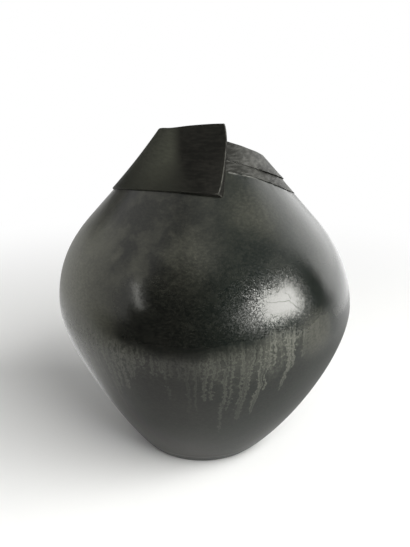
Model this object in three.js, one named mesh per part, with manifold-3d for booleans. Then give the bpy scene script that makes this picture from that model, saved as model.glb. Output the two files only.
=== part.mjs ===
// A round hand-built stoneware vase: a wide belly on a small flat foot, thrown in two halves,
// with a tilted mouth made of two slab rings and a broad slab wrapped round the front of the neck.
// Millimetres, +Z up. The origin is the middle of the flat foot, and the front of the vase faces -Y.
import * as THREE from "three";
import { mergeVertices } from "three/addons/utils/BufferGeometryUtils.js";
import Module from "manifold-3d";

const wasm = await Module();
wasm.setup();

// Body: the outside of the wall, from the foot to the straight part of the shoulder.
const FOOT_RADIUS = 58;
const FOOT_BEVEL = 1.5;
const BELLY_RADIUS = 150;
const BELLY_HEIGHT = 160;
const SHOULDER_RADIUS = 109.4;
const SHOULDER_HEIGHT = 251.4;
const SHOULDER_LEAN = THREE.MathUtils.degToRad(41);
const FLANK_FLARE = THREE.MathUtils.degToRad(52);
const WALL = 7;
const FLOOR = 9;

// How far the curve of the wall keeps its direction at each end, as a share of the rise it spans.
const FOOT_FULLNESS = 0.24;
const BELOW_BELLY_FULLNESS = 0.25;
const ABOVE_BELLY_FULLNESS = 0.51;
const SHOULDER_FULLNESS = 0.25;

// The body is a little out of true: its rings sit to the right of the axis, most of all low on the flank.
const SIDEWAYS_LEAN = 5.5;

// Seams: pieces are joined with slip, and a ridge keys the upper half into a groove in the lower half.
const SLIP = 0.3;
const KEY_WIDTH = 3;
const KEY_HEIGHT = 2;

// Soft coils pressed over the seams from inside.
const COIL_THICKNESS = 4;
const COIL_LAP = 7;

// Collar: two rings, with seams and a rim that tilt down to the right and back. Heights are on the axis,
// and a turn is the direction of the low side, from +X towards +Y.
const COLLAR_RISE = 47.6;
const LOWER_RING_HEIGHT = 11.9;
const UPPER_RING_HEIGHT = 16.6;
const LOWER_RING_PROUD = 0.6;
const UPPER_RING_PROUD = 1.9;
const SEAM_TILT = THREE.MathUtils.degToRad(21.9);
const SEAM_TURN = THREE.MathUtils.degToRad(46);
const RIM_TILT = THREE.MathUtils.degToRad(23.2);
const RIM_TURN = THREE.MathUtils.degToRad(52.6);

// Front slab: it wraps the left of the neck. Past the front, its foot still follows the neck, while its head
// leaves the neck along a tangent, as a free flap.
const SLAB_THICKNESS = 4.5;
const SLAB_FOOT_PROUD = 1.8;
const SLAB_HEAD_PROUD = 5.9;
const FLAP_TURN = THREE.MathUtils.degToRad(-15);
const FLAP_LENGTH = 41.2;
const FLAP_FOOT_CUTBACK = 10;
const FLAP_HEAD_CUTBACK = 10.6;
const FLAP_END_SLANT = 4.6;
const FLAP_FOOT_DROP = 3.4;
const FLAP_UNDERCUT = 2;
const FLAP_LIFT_START = 30;
const FLAP_PEEL = 1.5;
const SLAB_WRAP = 108;
const SLAB_END_SLOPE = 42;
const SLAB_SKIRT = 9;
const SLAB_SKIRT_RADIUS = 190;
const SLAB_ABOVE_RIM = 0.5;
const SLAB_RISE = 11;
const SLAB_RISE_START = 60;

// Facets, and the halvings that find a height on a curve.
const SIDES = 64;
const CURVE_STEPS = 10;
const SLAB_STEPS = 40;
const SLAB_ROWS = 6;
const HALVINGS = 40;

const collarHeight = SHOULDER_HEIGHT + COLLAR_RISE;
const ringSeamHeight = collarHeight + LOWER_RING_HEIGHT;
const rimHeight = ringSeamHeight + UPPER_RING_HEIGHT;
const shoulderRise = SHOULDER_HEIGHT - BELLY_HEIGHT;
const { lerp, clamp, smoothstep } = THREE.MathUtils;

// Profile curves of the outside of the wall, both running upwards.
const foot = new THREE.Vector2(FOOT_RADIUS, 0);
const belly = new THREE.Vector2(BELLY_RADIUS, BELLY_HEIGHT);
const shoulder = new THREE.Vector2(SHOULDER_RADIUS, SHOULDER_HEIGHT);
const upShoulder = new THREE.Vector2(-Math.sin(SHOULDER_LEAN), Math.cos(SHOULDER_LEAN));
const upFlank = new THREE.Vector2(Math.sin(FLANK_FLARE), Math.cos(FLANK_FLARE));
const upBelly = new THREE.Vector2(0, 1);

const flankCurve = new THREE.CubicBezierCurve(
  foot,
  foot.clone().addScaledVector(upFlank, FOOT_FULLNESS * BELLY_HEIGHT),
  belly.clone().addScaledVector(upBelly, -BELOW_BELLY_FULLNESS * BELLY_HEIGHT),
  belly,
);
const shoulderCurve = new THREE.CubicBezierCurve(
  belly,
  belly.clone().addScaledVector(upBelly, ABOVE_BELLY_FULLNESS * shoulderRise),
  shoulder.clone().addScaledVector(upShoulder, -SHOULDER_FULLNESS * shoulderRise),
  shoulder,
);
const neckLine = new THREE.LineCurve(
  shoulder,
  shoulder.clone().addScaledVector(upShoulder, (SHOULDER_RADIUS - 2 * WALL) / Math.sin(SHOULDER_LEAN)),
);

// A point of a profile curve, moved outwards along its normal.
function besideCurve(curve, t, outwards) {
  const along = curve.getTangent(t);
  return curve.getPoint(t).add(new THREE.Vector2(along.y, -along.x).multiplyScalar(outwards));
}

// The place on a curve, moved outwards, that reaches a height.
function placeAtHeight(curve, outwards, height) {
  let low = 0;
  let high = 1;
  for (let step = 0; step < HALVINGS; step++) {
    const middle = (low + high) / 2;
    if (besideCurve(curve, middle, outwards).y < height) low = middle;
    else high = middle;
  }
  return (low + high) / 2;
}

// Points of a curve, moved outwards, between two heights or from a height to its end.
function stretch(curve, outwards, fromHeight, toHeight = Infinity, steps = CURVE_STEPS) {
  const from = placeAtHeight(curve, outwards, fromHeight);
  const to = placeAtHeight(curve, outwards, toHeight);
  return Array.from({ length: steps + 1 }, (_, i) => besideCurve(curve, lerp(from, to, i / steps), outwards));
}

// The sideways shift of the ring at a height: none at the foot, most a third of the way up to the shoulder,
// and none from the shoulder up.
function sidewaysLean(height) {
  const t = clamp(height / SHOULDER_HEIGHT, 0, 1);
  const shareAtMost = (1 / 3) * (2 / 3) ** 2;
  return (SIDEWAYS_LEAN * t * (1 - t) ** 2) / shareAtMost;
}

// A turned piece from a closed profile, with the body's lean.
function turned(profile) {
  const geometry = new THREE.LatheGeometry(profile, SIDES).rotateX(Math.PI / 2);
  const position = geometry.getAttribute("position");
  for (let i = 0; i < position.count; i++) {
    position.setX(i, position.getX(i) + sidewaysLean(position.getZ(i)));
  }
  return geometry;
}

function closed(profile) {
  return [...profile, profile[0].clone()];
}

// Between a geometry and a solid that can be cut.
function toSolid(geometry) {
  const bare = geometry.clone();
  bare.deleteAttribute("normal");
  bare.deleteAttribute("uv");
  const merged = mergeVertices(bare, 1e-3);
  const vertProperties = new Float32Array(merged.getAttribute("position").array);
  const triVerts = new Uint32Array(merged.index.array);
  return new wasm.Manifold(new wasm.Mesh({ numProp: 3, vertProperties, triVerts }));
}

function toGeometry(solid) {
  const mesh = solid.getMesh();
  const geometry = new THREE.BufferGeometry();
  geometry.setAttribute("position", new THREE.BufferAttribute(mesh.vertProperties, 3));
  geometry.setIndex(new THREE.BufferAttribute(mesh.triVerts, 1));
  geometry.computeVertexNormals();
  return geometry;
}

// The foot: a flat disc whose side carries on the line of the flank.
function baseDisc() {
  const side = stretch(flankCurve, 0, FOOT_BEVEL, FLOOR, 3);
  return turned([
    new THREE.Vector2(0, 0),
    new THREE.Vector2(side[0].x - FOOT_BEVEL, 0),
    ...side,
    new THREE.Vector2(0, FLOOR),
  ]);
}

// The key of the belly seam, across the middle of the wall, from outside to inside.
function keyPoints(height, clearance) {
  const middle = BELLY_RADIUS - WALL / 2;
  const mouth = KEY_WIDTH / 2 + clearance;
  const tip = KEY_WIDTH / 4 + clearance;
  return [
    new THREE.Vector2(middle + mouth, height),
    new THREE.Vector2(middle + tip, height - KEY_HEIGHT),
    new THREE.Vector2(middle - tip, height - KEY_HEIGHT),
    new THREE.Vector2(middle - mouth, height),
  ];
}

// The lower half of the body, from the foot disc to the groove at the widest ring.
function lowerBody() {
  const bottom = FLOOR + SLIP;
  const top = BELLY_HEIGHT - SLIP / 2;
  return turned(
    closed([
      ...stretch(flankCurve, 0, bottom, top),
      ...keyPoints(top, SLIP),
      ...stretch(flankCurve, -WALL, bottom, top).reverse(),
    ]),
  );
}

// A turned wall between two faces beside the upper profile, from the belly to the top of the neck.
function upperWall(outside, inside, seam = []) {
  const bottom = BELLY_HEIGHT + SLIP / 2;
  const outer = stretch(shoulderCurve, outside, bottom);
  const inner = stretch(shoulderCurve, inside, bottom);
  return toSolid(
    turned(
      closed([
        ...outer,
        besideCurve(neckLine, 1, outside),
        besideCurve(neckLine, 1, inside),
        ...inner.reverse(),
        ...seam.toReversed(),
      ]),
    ),
  );
}

// All that lies under a tilted plane, given by its height on the axis.
function under(height, tilt, turn) {
  const size = 6 * BELLY_RADIUS;
  const block = new THREE.BoxGeometry(size, size, size).translate(0, 0, -size / 2);
  return toSolid(block.rotateY(tilt).rotateZ(turn).translate(0, 0, height));
}

function underSeam(height) {
  return under(height, SEAM_TILT, SEAM_TURN);
}

// The upper half of the body, keyed into the lower half and cut off along the collar's lowest plane.
function upperBody() {
  const key = keyPoints(BELLY_HEIGHT + SLIP / 2, 0);
  return upperWall(0, -WALL, key).intersect(underSeam(collarHeight - SLIP / 2));
}

function lowerRing() {
  return upperWall(LOWER_RING_PROUD, -WALL)
    .intersect(underSeam(ringSeamHeight - SLIP / 2))
    .subtract(underSeam(collarHeight + SLIP / 2));
}

function upperRing() {
  return upperWall(UPPER_RING_PROUD, -WALL)
    .intersect(under(rimHeight, RIM_TILT, RIM_TURN))
    .subtract(underSeam(ringSeamHeight + SLIP / 2));
}

// The coil pressed flat over both of the collar's seams.
function neckCoil() {
  const face = -WALL - SLIP;
  return upperWall(face, face - COIL_THICKNESS)
    .intersect(underSeam(ringSeamHeight + COIL_LAP))
    .subtract(underSeam(collarHeight - COIL_LAP));
}

// The coil pressed over the belly seam, with a rounded back.
function bellyCoil() {
  const face = -WALL - SLIP;
  const lower = stretch(flankCurve, face, BELLY_HEIGHT - COIL_LAP, BELLY_HEIGHT, 2);
  const upper = stretch(shoulderCurve, face, BELLY_HEIGHT, BELLY_HEIGHT + COIL_LAP, 2);
  const back = new THREE.QuadraticBezierCurve(
    upper[2],
    new THREE.Vector2(belly.x + face - 2 * COIL_THICKNESS, BELLY_HEIGHT),
    lower[0],
  );
  return turned(closed([...lower, ...upper.slice(1), ...back.getPoints(6).slice(1, -1)]));
}

// The coil pressed into the corner between the foot disc and the flank.
function floorCoil() {
  const face = -WALL - SLIP;
  const bottom = FLOOR + SLIP;
  const wall = stretch(flankCurve, face, bottom, bottom + COIL_LAP, 3);
  const corner = wall[0];
  const back = new THREE.QuadraticBezierCurve(
    wall[3],
    new THREE.Vector2(corner.x - COIL_THICKNESS / 2, bottom + COIL_THICKNESS / 2),
    new THREE.Vector2(corner.x - COIL_LAP, bottom),
  );
  return turned(closed([...wall, ...back.getPoints(5).slice(1)]));
}

// The front slab is laid out flat on the neck: along runs from the wrapped end to the free end, measured
// from the line where it leaves the neck, up runs up the slope of the neck from the collar's lowest plane.
const neckRadius = SHOULDER_RADIUS - Math.tan(SHOULDER_LEAN) * COLLAR_RISE;

// Where the slab's head stands round the neck: the flap's head keeps the turn at which it leaves.
function slabTurn(along) {
  return FLAP_TURN + Math.min(along, 0) / neckRadius;
}

// The slab's foot drops towards the free end, and more so on its inner face.
function skirtEdge(along, through) {
  const wrapDrop = Math.min(along, 0) ** 2 / (2 * SLAB_SKIRT_RADIUS);
  const endDrop = FLAP_FOOT_DROP + FLAP_UNDERCUT * (1 - through);
  return -SLAB_SKIRT - wrapDrop - endDrop * smoothstep(along, 0, FLAP_LENGTH);
}

// The foot lifts towards the free end until the whole thickness of the slab shows.
function footProud(along) {
  return lerp(SLAB_FOOT_PROUD, SLAB_THICKNESS, smoothstep(along, -FLAP_LIFT_START, FLAP_LENGTH));
}

function freeEnd(across) {
  return FLAP_LENGTH - FLAP_FOOT_CUTBACK * (1 - across) ** 4 - FLAP_HEAD_CUTBACK * across ** 3;
}

// The slab's head follows the tilted rim of the mouth, and rises above it towards the free end.
function headEdge(along) {
  const fall = Math.tan(RIM_TILT) * Math.sin(slabTurn(along) - RIM_TURN);
  const headRadius = neckRadius + SLAB_HEAD_PROUD * Math.cos(SHOULDER_LEAN);
  const headHeight = collarHeight + SLAB_HEAD_PROUD * Math.sin(SHOULDER_LEAN);
  const toRim =
    (rimHeight - headHeight - fall * headRadius) /
    (Math.cos(SHOULDER_LEAN) - fall * Math.sin(SHOULDER_LEAN));
  return toRim + SLAB_ABOVE_RIM + SLAB_RISE * smoothstep(along, -SLAB_RISE_START, FLAP_LENGTH);
}

// A slab, or the bed that it needs in the neck when clearance is added all round.
function frontSlab(clearance) {
  const geometry = new THREE.BoxGeometry(1, 1, 1, SLAB_STEPS, SLAB_ROWS, 1);
  const position = geometry.getAttribute("position");
  for (let i = 0; i < position.count; i++) {
    const across = position.getY(i) + 0.5;
    const through = position.getZ(i) + 0.5;
    const wrappedEnd = -SLAB_WRAP - SLAB_END_SLOPE * across - clearance;
    const endSlant = FLAP_END_SLANT * (1 - across) ** 2 * (1 - through);
    const along = lerp(wrappedEnd, freeEnd(across) + endSlant + clearance, position.getX(i) + 0.5);
    const up = lerp(skirtEdge(along, through) - clearance, headEdge(along) + clearance, across);
    const proud = lerp(footProud(along), SLAB_HEAD_PROUD, across ** 2);
    const out = lerp(proud - SLAB_THICKNESS - clearance, proud + clearance, through);
    const radius = neckRadius - up * Math.sin(SHOULDER_LEAN) + out * Math.cos(SHOULDER_LEAN);
    const hold = (1 - across) ** FLAP_PEEL;
    const turn = slabTurn(along) + (hold * Math.max(along, 0)) / neckRadius;
    const beyond = (1 - hold) * Math.max(along, 0);
    position.setXYZ(
      i,
      radius * Math.sin(turn) + beyond * Math.cos(turn),
      -radius * Math.cos(turn) + beyond * Math.sin(turn),
      collarHeight + up * Math.cos(SHOULDER_LEAN) + out * Math.sin(SHOULDER_LEAN),
    );
  }
  geometry.computeVertexNormals();
  return geometry;
}

// Assembly. The front slab beds into the shoulder and both rings.
const bed = toSolid(frontSlab(SLIP));
const DARK_GLAZE = { color: 0x2b2d2a, roughness: 0.32, metalness: 0 };
const GREY_GLAZE = { color: 0x3a3c39, roughness: 0.4, metalness: 0 };
const BARE_STONEWARE = { color: 0x6f675d, roughness: 0.85, metalness: 0 };

const vase = new THREE.Group();

function addPiece(name, geometry, finish) {
  const mesh = new THREE.Mesh(geometry, new THREE.MeshStandardMaterial(finish));
  mesh.name = name;
  vase.add(mesh);
}

addPiece("base_disc", baseDisc(), BARE_STONEWARE);
addPiece("lower_body", lowerBody(), DARK_GLAZE);
addPiece("upper_body", toGeometry(upperBody().subtract(bed)), DARK_GLAZE);
addPiece("collar_lower_ring", toGeometry(lowerRing().subtract(bed)), GREY_GLAZE);
addPiece("collar_upper_ring", toGeometry(upperRing().subtract(bed)), GREY_GLAZE);
addPiece("collar_front_slab", frontSlab(0), DARK_GLAZE);
addPiece("floor_seam_coil", floorCoil(), DARK_GLAZE);
addPiece("belly_seam_coil", bellyCoil(), DARK_GLAZE);
addPiece("neck_seam_coil", toGeometry(neckCoil()), DARK_GLAZE);

export default vase;
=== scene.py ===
# %% [markdown]
# A round stoneware vase
#
# The vase stands on a white floor in soft light. Its wall is dark and glossy, so most of what the eye reads
# on it is the room: the white floor, one window, a white wall, and the dark beside the camera. The script
# therefore makes three things with equal care: the clay pieces, the glazes, and the room that the glaze
# mirrors.
# The imported model is loaded first. It is the frame that every piece is placed in, and its parts are kept,
# hidden as the pieces take their places.

# %% Load the frame
from functools import partial
from math import atan2, cos, pi, radians, sin, tan, tau

import bmesh
import bpy
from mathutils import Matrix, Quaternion, Vector, noise
from mathutils.geometry import interpolate_bezier


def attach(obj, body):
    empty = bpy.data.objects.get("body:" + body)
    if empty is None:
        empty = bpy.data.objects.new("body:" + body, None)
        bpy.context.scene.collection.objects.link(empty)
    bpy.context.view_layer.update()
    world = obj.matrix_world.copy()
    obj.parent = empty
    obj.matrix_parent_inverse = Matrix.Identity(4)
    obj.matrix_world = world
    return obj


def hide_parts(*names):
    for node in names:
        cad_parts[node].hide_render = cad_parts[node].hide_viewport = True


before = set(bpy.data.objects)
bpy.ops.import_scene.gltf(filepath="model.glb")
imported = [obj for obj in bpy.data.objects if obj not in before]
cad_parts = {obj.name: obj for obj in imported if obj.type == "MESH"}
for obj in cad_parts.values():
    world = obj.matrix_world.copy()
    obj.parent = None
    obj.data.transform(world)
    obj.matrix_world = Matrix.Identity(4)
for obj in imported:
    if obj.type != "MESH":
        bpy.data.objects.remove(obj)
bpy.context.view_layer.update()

MM = 0.001

# %% [markdown]
# The line of the wall
#
# A thrown pot is a line turned round an axis. Here the line is two Bezier curves, one from the foot to the
# belly and one from the belly over the shoulder, and then a straight neck. A spline object could hold it,
# but interpolate_bezier gives the points straight away. The point at the widest ring is left out, so that
# the seam there falls in the middle of a face and the two halves shade alike.

# %% Sizes of the body, in millimetres
FOOT_RADIUS = 58
FOOT_BEVEL = 1.5
BELLY_RADIUS = 150
BELLY_HEIGHT = 160
SHOULDER_RADIUS = 109.4
SHOULDER_HEIGHT = 251.4
SHOULDER_LEAN = radians(41)
FLANK_FLARE = radians(52)
WALL = 7
FLOOR = 9
SIDEWAYS_LEAN = 5.5
SLIP = 0.3
SIDES = 192

# The handles of the two curves, as shares of the height that the curve spans.
FLANK_HANDLES = (0.24, 0.25)
SHOULDER_HANDLES = (0.51, 0.25)

# The points on the flank, over the shoulder and up the neck.
FLANK_POINTS = 42
SHOULDER_POINTS = 32
NECK_POINTS = 24

# %% Sizes of the collar, in millimetres
COLLAR_RISE = 47.6
LOWER_RING_HEIGHT = 11.9
UPPER_RING_HEIGHT = 16.6
LOWER_RING_PROUD = 0.6
UPPER_RING_PROUD = 1.9
SEAM_TILT = radians(21.9)
SEAM_TURN = radians(46)
RIM_TILT = radians(23.2)
RIM_TURN = radians(52.6)
COLLAR_EDGE = 0.6
LIP_EDGE = 1.2

collar_height = SHOULDER_HEIGHT + COLLAR_RISE
ring_seam_height = collar_height + LOWER_RING_HEIGHT
rim_height = ring_seam_height + UPPER_RING_HEIGHT

# The planes that the clay is cut along: height, tilt and turn.
FLOOR_TOP = (FLOOR, 0, 0)
BELLY_SEAM = (BELLY_HEIGHT, 0, 0)
COLLAR_SEAM = (collar_height, SEAM_TILT, SEAM_TURN)
RING_SEAM = (ring_seam_height, SEAM_TILT, SEAM_TURN)
RIM = (rim_height, RIM_TILT, RIM_TURN)

# %% Points of the outline
def outline():
    rise = SHOULDER_HEIGHT - BELLY_HEIGHT
    up_flank = Vector((sin(FLANK_FLARE), cos(FLANK_FLARE)))
    up_neck = Vector((-sin(SHOULDER_LEAN), cos(SHOULDER_LEAN)))
    up = Vector((0, 1))
    foot = Vector((FOOT_RADIUS, 0))
    belly = Vector((BELLY_RADIUS, BELLY_HEIGHT))
    shoulder = Vector((SHOULDER_RADIUS, SHOULDER_HEIGHT))
    from_foot = foot + up_flank * FLANK_HANDLES[0] * BELLY_HEIGHT
    to_belly = belly - up * FLANK_HANDLES[1] * BELLY_HEIGHT
    from_belly = belly + up * SHOULDER_HANDLES[0] * rise
    to_shoulder = shoulder - up_neck * SHOULDER_HANDLES[1] * rise
    flank = interpolate_bezier(foot, from_foot, to_belly, belly, FLANK_POINTS)
    over = interpolate_bezier(belly, from_belly, to_shoulder, shoulder, SHOULDER_POINTS)
    neck_top = shoulder + up_neck * (SHOULDER_RADIUS - 2 * WALL) / sin(SHOULDER_LEAN)
    neck = [shoulder.lerp(neck_top, step / NECK_POINTS) for step in range(1, NECK_POINTS + 1)]
    return flank[:-1] + over[1:] + neck


profile = outline()
print("outline points", len(profile))

# %% [markdown]
# Clay by hand
#
# A hand-built wall is never quite round. Two slow noises move each point a fraction of a millimetre, and the
# rings of the body sit a little to one side. Near the collar seams the clay is pressed into lumps, the cut
# edges wobble as a knife does, and the lower seam bows up at the right. The shift depends only on where a
# point is, so pieces that meet at a seam move together and stay closed.

# %% Small helpers
def mix(start, end, share):
    return start + (end - start) * share


def eased(value, start, end):
    share = min(max((value - start) / (end - start), 0), 1)
    return share * share * (3 - 2 * share)


def hump(value, reach):
    """1 at nought, falling smoothly to 0 at either side."""
    share = min(abs(value) / reach, 1)
    return (1 - share * share) ** 2


def facing(tilt, turn):
    return Vector((sin(tilt) * cos(turn), sin(tilt) * sin(turn), cos(tilt)))


def turn_of(place):
    return atan2(place.x, -place.y)


def above_seam(place, height):
    """How far above the collar seam at a height a place lies. Below it, this is less than nought."""
    return (place - Vector((0, 0, height))).dot(facing(SEAM_TILT, SEAM_TURN))


# %% Uneven by hand
SWELL = 0.45
SWELL_LENGTH = 95
RIPPLE = 0.16
RIPPLE_LENGTH = 38
CUT_WOBBLE = 0.5
CUT_WOBBLE_LENGTH = 17
SEAM_BOW = 3.4
SEAM_BOW_TURN = radians(50)
SEAM_BOW_WIDTH = radians(34)
SEAM_BOW_REACH = 11
SEAM_PRESS = 0.9
SEAM_PRESS_LENGTH = 6
SEAM_PRESS_REACH = 4

# The most that low * (1 - low) ** 2 comes to, at a third.
MOST_LEAN = (1 / 3) * (2 / 3) ** 2


def at_seams(place):
    """How far the clay at the collar seams is moved outwards and up the wall, in millimetres."""
    above_lower = above_seam(place, collar_height)
    above_upper = above_seam(place, ring_seam_height)
    near = hump(above_lower, SEAM_PRESS_REACH) + hump(above_upper, SEAM_PRESS_REACH)
    press = SEAM_PRESS * near * noise.noise(place / SEAM_PRESS_LENGTH)
    high = min(max((place.z - SHOULDER_HEIGHT) / CUT_WOBBLE_LENGTH, 0), 1)
    wobble = CUT_WOBBLE * high * noise.noise(place / CUT_WOBBLE_LENGTH)
    beside = hump(turn_of(place) - SEAM_BOW_TURN, SEAM_BOW_WIDTH)
    bow = SEAM_BOW * beside * hump(above_lower, SEAM_BOW_REACH)
    return press, wobble + bow


def uneven(place, with_seams):
    """Where a place of the plain shape lies on the uneven one, both in millimetres."""
    low = min(max(place.z / SHOULDER_HEIGHT, 0), 1)
    lean = SIDEWAYS_LEAN * low * (1 - low) ** 2 / MOST_LEAN
    swell = SWELL * noise.noise(place / SWELL_LENGTH)
    ripple = RIPPLE * noise.noise(place / RIPPLE_LENGTH)
    press, lift = at_seams(place) if with_seams else (0, 0)
    outwards = Vector((place.x, place.y, 0)).normalized()
    up_wall = Vector((0, 0, cos(SHOULDER_LEAN))) - outwards * sin(SHOULDER_LEAN)
    return place + outwards * (swell + ripple + press) + up_wall * lift + Vector((lean, 0, 0))


print("the wall moves by up to", SWELL + RIPPLE, "mm and the seam by", SEAM_BOW, "mm")

# %% [markdown]
# Turning and cutting
#
# Every turned piece is a slice of the same wall. The outline is spun, given its thickness, and cut
# along the planes where the clay was cut: level at the belly, tilted at the collar. Booleans could do it
# too, but bisect_plane cuts straight through the rings of faces, and bridge_loops closes the cut.

# %% Spin, thicken and cut
def spun(proud):
    shell = bmesh.new()
    line = [shell.verts.new((point.x * MM, 0, point.y * MM)) for point in profile]
    edges = [shell.edges.new(pair) for pair in zip(line, line[1:])]
    bmesh.ops.spin(
        shell, geom=line + edges, cent=(0, 0, 0), axis=(0, 0, 1), angle=tau, steps=SIDES, use_merge=True
    )
    bmesh.ops.remove_doubles(shell, verts=shell.verts, dist=1e-6)
    bmesh.ops.recalc_face_normals(shell, faces=shell.faces)
    shell.normal_update()
    outwards = [vert.normal.copy() for vert in shell.verts]
    for vert, normal in zip(shell.verts, outwards):
        vert.co += normal * proud * MM
    return shell


def sliced(shell, height, tilt, turn, keep="below"):
    """Cuts a shell along a plane, and gives the edges that are left open."""
    bmesh.ops.bisect_plane(
        shell,
        geom=shell.verts[:] + shell.edges[:] + shell.faces[:],
        dist=1e-7,
        plane_co=(0, 0, height * MM),
        plane_no=facing(tilt, turn),
        clear_outer=keep == "below",
        clear_inner=keep == "above",
    )
    return [edge for edge in shell.edges if edge.is_boundary]


def cut(shell, height, tilt, turn, keep="below"):
    open_edges = sliced(shell, height, tilt, turn, keep)
    bmesh.ops.bridge_loops(shell, edges=open_edges)


def wall(proud, thickness, low, high):
    """A slice of the wall between two planes, each given by its height, tilt and turn."""
    shell = spun(proud)
    bmesh.ops.solidify(shell, geom=shell.faces, thickness=thickness * MM)
    cut(shell, *low, keep="above")
    cut(shell, *high)
    return shell


# %% [markdown]
# Soft edges, worn edges
#
# A potter wipes every cut edge with a wet finger, and the glaze breaks thin and pale along it. So the
# edges are bevelled to a small round, and the middle of each round is marked in a point attribute called
# wear, which the glazes read. A bevel shader could fake the round, but real faces also catch the light.

# %% Round the edges and mark them
SHARP = radians(40)
CREASE = radians(50)
ROUND_STEPS = 4


def soften(shell, radius, chosen=None):
    wear = shell.verts.layers.float.get("wear") or shell.verts.layers.float.new("wear")
    sharp = [edge for edge in shell.edges if edge.calc_face_angle(0) > SHARP]
    if chosen:
        sharp = [edge for edge in sharp if all(chosen(vert.co / MM) for vert in edge.verts)]
    made = bmesh.ops.bevel(
        shell,
        geom=sharp,
        offset=radius * MM,
        offset_type="OFFSET",
        segments=ROUND_STEPS,
        profile=0.5,
        affect="EDGES",
        material=-1,
        clamp_overlap=True,
    )
    rounds = set(made["faces"])
    for vert in made["verts"]:
        if all(face in rounds for face in vert.link_faces):
            vert[wear] = 1.0


# %% Make an object of a shell
def placed(shell, name, materials):
    mesh = bpy.data.meshes.new(name)
    shell.to_mesh(mesh)
    shell.free()
    for material in materials:
        mesh.materials.append(material)
    thing = bpy.data.objects.new(name, mesh)
    bpy.context.scene.collection.objects.link(thing)
    return thing


def finish_piece(shell, name, node, materials, with_seams=True):
    for vert in shell.verts:
        vert.co = uneven(vert.co / MM, with_seams) * MM
    for face in shell.faces:
        face.smooth = True
    for edge in shell.edges:
        edge.smooth = edge.calc_face_angle(0) < CREASE
    piece = placed(shell, name, materials)
    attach(piece, "root")
    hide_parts(node)
    print(name, len(piece.data.polygons), "faces")


# %% [markdown]
# Node helpers
#
# Colours are written as the hex values that a colour picker shows, and turned to the linear values that
# the shader counts in. One small function adds a node, sets it and links it. It is bound to the nodes of a
# material once, and is called add from there on.

# %% Colours and nodes
WHITE = (1.0, 1.0, 1.0, 1.0)

# The setting that eases a range at both ends.
EASED = {"interpolation_type": "SMOOTHSTEP"}


def colour(hex_code):
    parts = [int(hex_code[i : i + 2], 16) / 255 for i in (1, 3, 5)]
    linear = [part / 12.92 if part <= 0.04045 else ((part + 0.055) / 1.055) ** 2.4 for part in parts]
    return (*linear, 1.0)


def per(millimetres):
    """The texture scale at which one feature is this long."""
    return 1 / (millimetres * MM)


def add_node(tree, kind, output, inputs, **settings):
    """Adds a node with its settings and inputs, and gives one of its outputs, or all of them for None."""
    made = tree.nodes.new("ShaderNode" + kind)
    for name, value in settings.items():
        setattr(made, name, value)
    for socket, value in inputs.items():
        if isinstance(value, bpy.types.NodeSocket):
            tree.links.new(value, made.inputs[socket])
        else:
            made.inputs[socket].default_value = value
    return made.outputs if output is None else made.outputs[output]


def adder(holder):
    """Clears the nodes of a material or a world, and gives the function that adds new ones."""
    holder.use_nodes = True
    holder.node_tree.nodes.clear()
    return partial(add_node, holder.node_tree)


def new_material(name):
    material = bpy.data.materials.new(name)
    return material, adder(material)


# %% Shares of a place
def share_along(add, place, axis, start, end):
    """From 0 at one place along an axis, in millimetres, to 1 at another."""
    axes = add("SeparateXYZ", None, {0: place})
    return add("MapRange", 0, {"Value": axes[axis], "From Min": start * MM, "From Max": end * MM}, **EASED)


def away_from(add, place, centre, inner, outer):
    """From 0 within one distance of a place to 1 beyond another, all in millimetres."""
    distance = add("VectorMath", "Value",
                   {0: place, 1: [length * MM for length in centre]}, operation="DISTANCE")
    return add("MapRange", 0, {"Value": distance, "From Min": inner * MM, "From Max": outer * MM}, **EASED)


def product(add, shares):
    """All the shares, multiplied."""
    made = shares[0]
    for share in shares[1:]:
        made = add("Math", 0, {0: made, 1: share}, operation="MULTIPLY")
    return made


# %% [markdown]
# Satin iron glaze
#
# The body has a stoneware glaze full of iron, fired almost black. It is glass on clay: IOR about 1.5, no
# metal. Its skin is slightly orange-peeled, with a satin haze where crystals cloud it, so its highlights
# are soft and break into sparkles. A bump map could make the sparkles, but facets that each lean their own
# way do it as crystals do. The grain is about half a millimetre on the real pot. It is drawn at 0.9 mm,
# because finer grain would not show in the render.
# Below the belly the glaze turns dry, and a second, matte grey glaze has run down in fingers. A painted map
# could place each drip, but drips are only noise with a direction: the length of a finger depends on the
# angle round the pot.

# %% Haze in the glaze
HAZE_HEIGHTS = (196, 246)
HAZE_BELOW = 0.15

# The clouds of the haze: their length in millimetres, the roughness and distortion of the noise, its values
# where a cloud begins and where it is full, and how strong it is then.
CLOUDS = ((62, 0.62, 0.4, 0.43, 0.68, 0.65), (20, 0.55, 0.3, 0.46, 0.64, 0.35))

# Haze smears and a painted reflection: a centre, an inner and an outer radius in millimetres, and a strength.
SMEARS_AND_REFLECTION = (
    ((-9, -115, 244), 4, 36, 0.45),
    ((50, -74, 275), 4, 40, 0.5),
    # A painted reflection of the white wall at the right, as a grey patch just above the belly.
    ((109, -106, 165), 6, 32, 0.8),
    ((-95, -113, 179), 4, 30, 0.6),
)


def glaze_haze(add, place):
    """The satin haze in the glaze, from 0 to 1: slow clouds and smaller ones, thickest on the shoulder."""
    high = share_along(add, place, "Z", *HAZE_HEIGHTS)
    thick = add("MapRange", 0, {"Value": high, "To Min": HAZE_BELOW})
    haze = 0.0
    for length, roughness, distortion, begins, full, most in CLOUDS:
        cloud = add("TexNoise", 0,
                    {"Vector": place, "Scale": per(length), "Detail": 5.0,
                     "Roughness": roughness, "Distortion": distortion})
        cloud = add("MapRange", 0,
                    {"Value": cloud, "From Min": begins, "From Max": full, "To Max": most}, **EASED)
        haze = add("Math", 0, {0: cloud, 1: haze}, operation="ADD")
    return product(add, (haze, thick))


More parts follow.
